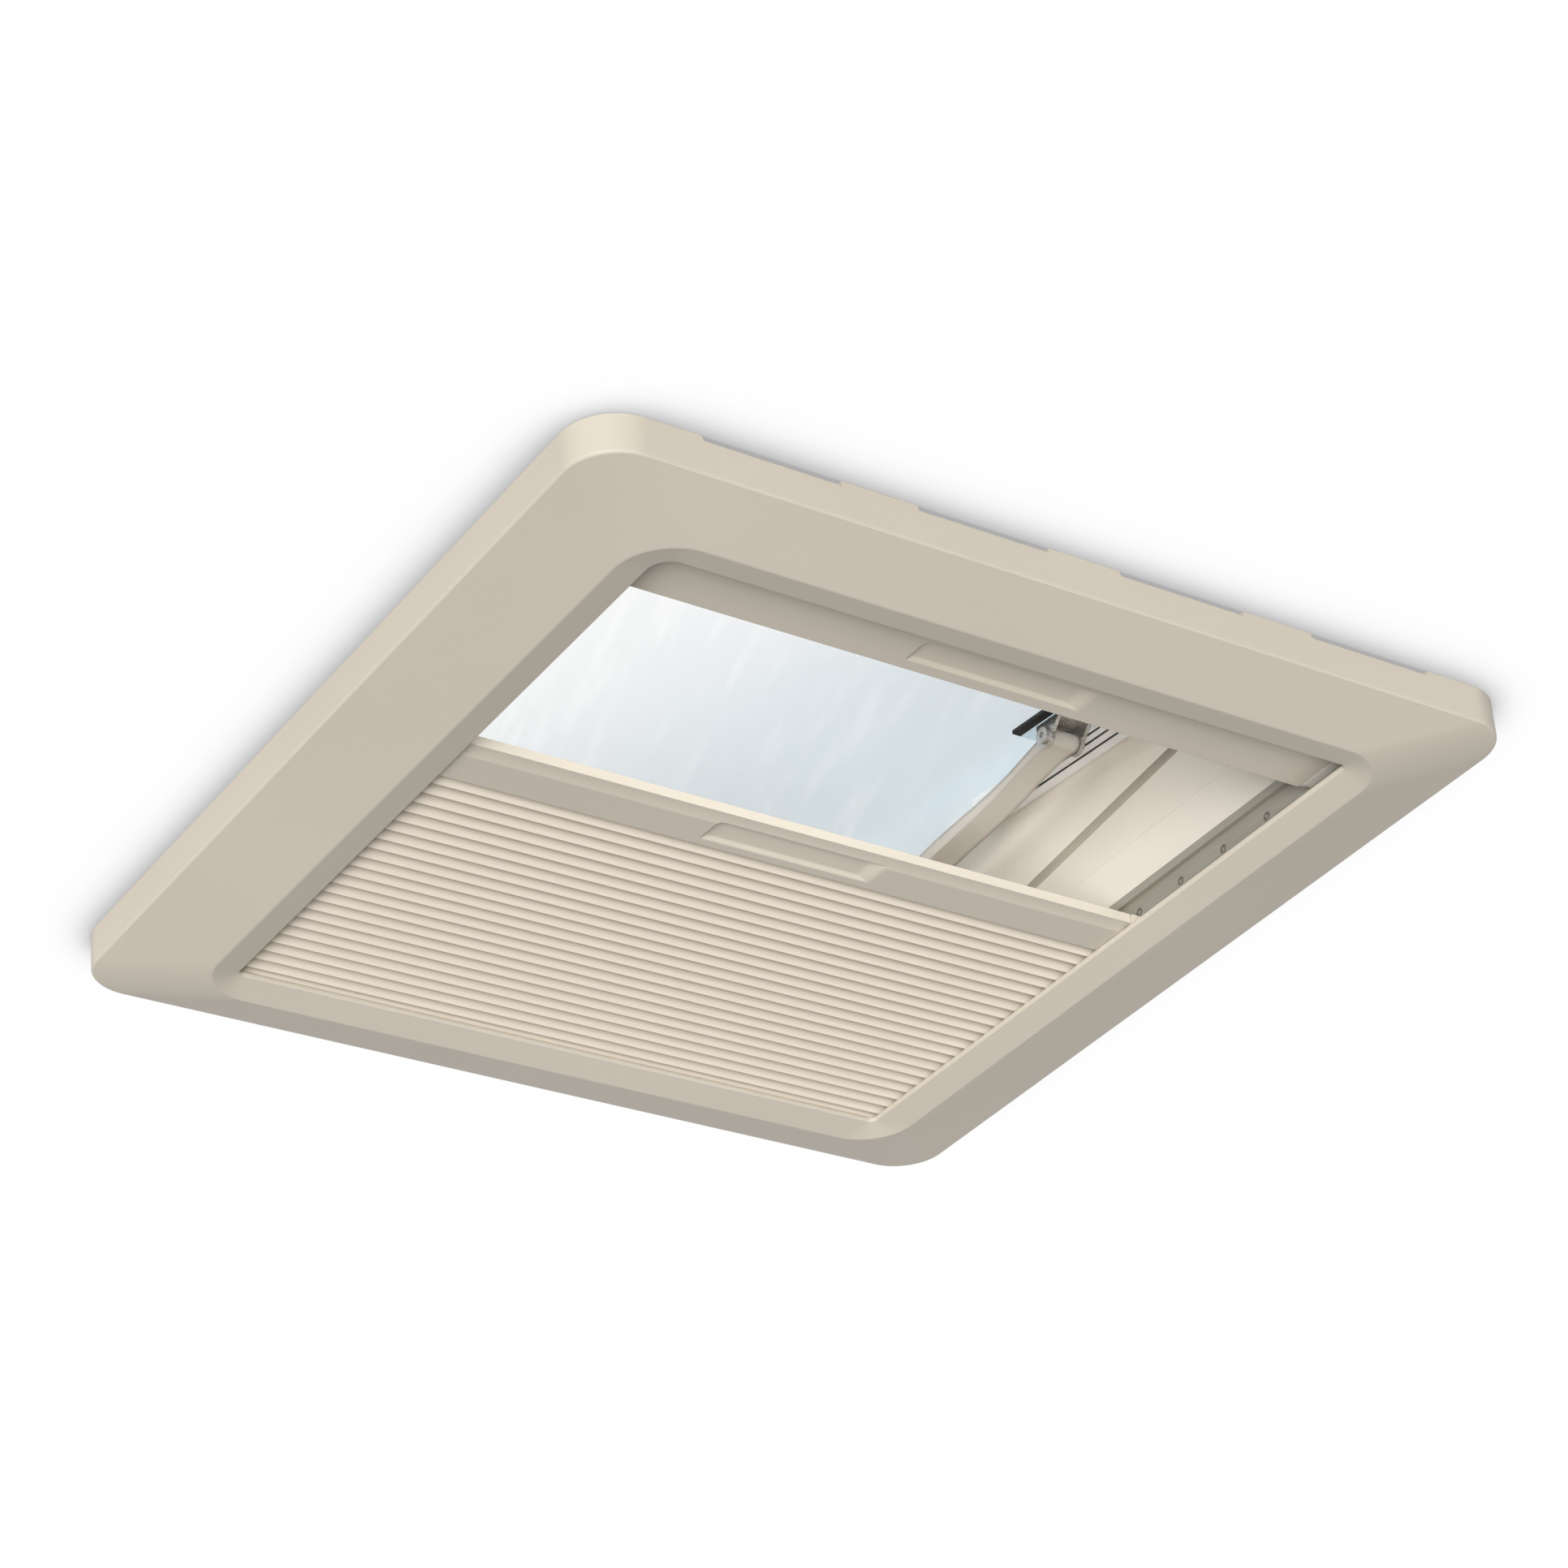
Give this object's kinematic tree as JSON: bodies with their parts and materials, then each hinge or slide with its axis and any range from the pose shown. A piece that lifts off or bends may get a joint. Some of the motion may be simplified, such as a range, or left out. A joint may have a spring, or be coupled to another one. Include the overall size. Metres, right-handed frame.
{
  "type": "rv skylight",
  "caption": "Square hinged roof light for a caravan or camper: interior frame with pleated blind and insect screen, clear tilting dome and a bow that pushes it open.",
  "frame": {"origin": "centre of the roof cut-out, on the ceiling plane", "axes": "+Z out through the roof, +X along the two pull bars, +Y the way the blind is pushed open"},
  "size_m": [0.48, 0.48, 0.1619],
  "materials": {
    "frame_plastic": "smooth moulded satin",
    "outer_plastic": "smooth moulded satin",
    "bow_plastic": "smooth moulded satin",
    "track_alu": "dark anodised",
    "rail_alu": "satin anodised",
    "black_plastic": "fine matt",
    "clear_acrylic": "clear with a faint blue tint",
    "clear_pad": "clear moulded",
    "steel": "plain zinc plated",
    "seal_rubber": "matt",
    "pleat_paper": "pleated light-tight cloth",
    "mesh_fabric": "fine pleated mesh"
  },
  "bodies": {
    "root": {"interior_frame": "frame_plastic", "guide_left": "track_alu", "guide_right": "track_alu", "guide_screws": "steel", "end_rail_front": "rail_alu", "end_rail_rear": "rail_alu", "lining": "outer_plastic", "outer_frame": "outer_plastic", "slot_liner_left": "bow_plastic", "slot_liner_right": "bow_plastic", "roof_seal": "seal_rubber", "rim_seal": "seal_rubber", "roof_clamps": "steel", "clamp_screws": "steel", "frame_clips": "steel", "hinge_bracket_left": "rail_alu", "hinge_bracket_right": "rail_alu", "hinge_pins": "steel", "bracket_screws": "steel", "catch": "outer_plastic", "catch_screws": "steel"},
    "dome": {"dome": "clear_acrylic", "pane": "clear_acrylic", "rail_left": "rail_alu", "rail_right": "rail_alu", "rail_inserts": "black_plastic", "pad_left": "clear_pad", "pad_right": "clear_pad", "pad_strips": "black_plastic", "clevis_left": "steel", "clevis_right": "steel", "pivot_pins": "steel", "clevis_screws": "steel", "hinge_leaf_left": "rail_alu", "hinge_leaf_right": "rail_alu", "hinge_screws": "steel"},
    "bow": {"bow": "bow_plastic", "bow_axles": "steel", "bow_rollers": "black_plastic", "button_spring": "steel"},
    "button": {"lock_button": "bow_plastic"},
    "blind": {"blind_bar": "frame_plastic", "blind_shoes": "frame_plastic", "blind_pleats": "pleat_paper"},
    "screen": {"screen_bar": "frame_plastic", "screen_shoes": "bow_plastic", "screen_pleats": "mesh_fabric"}
  },
  "joints": [
    {"name": "dome_hinge", "type": "hinge", "parent": "root", "child": "dome", "pos_m": [0, -0.222, 0.07394], "axis": [1, 0, 0], "range_deg": [0, 50]},
    {"name": "bow_pivot", "type": "hinge", "parent": "dome", "child": "bow", "pos_m": [0, -0.0228, 0.0788], "axis": [1, 0, 0], "range_deg": [-100, 0]},
    {"name": "button_press", "type": "slide", "parent": "bow", "child": "button", "axis": [0, 0, 1], "range_m": [0, 0.003], "stiffness_N_per_m": 500, "springref_m": -0.002, "deforming": ["button_spring"]},
    {"name": "blind_slide", "type": "slide", "parent": "root", "child": "blind", "axis": [0, 1, 0], "range_m": [-0.157, 0.188], "deforming": ["blind_pleats"]},
    {"name": "screen_slide", "type": "slide", "parent": "root", "child": "screen", "axis": [0, 1, 0], "range_m": [0, 0.343], "deforming": ["screen_pleats"]}
  ],
  "couplings": [
    {"joint": "bow_pivot", "follows": "dome_hinge", "ratio": -2}
  ]
}
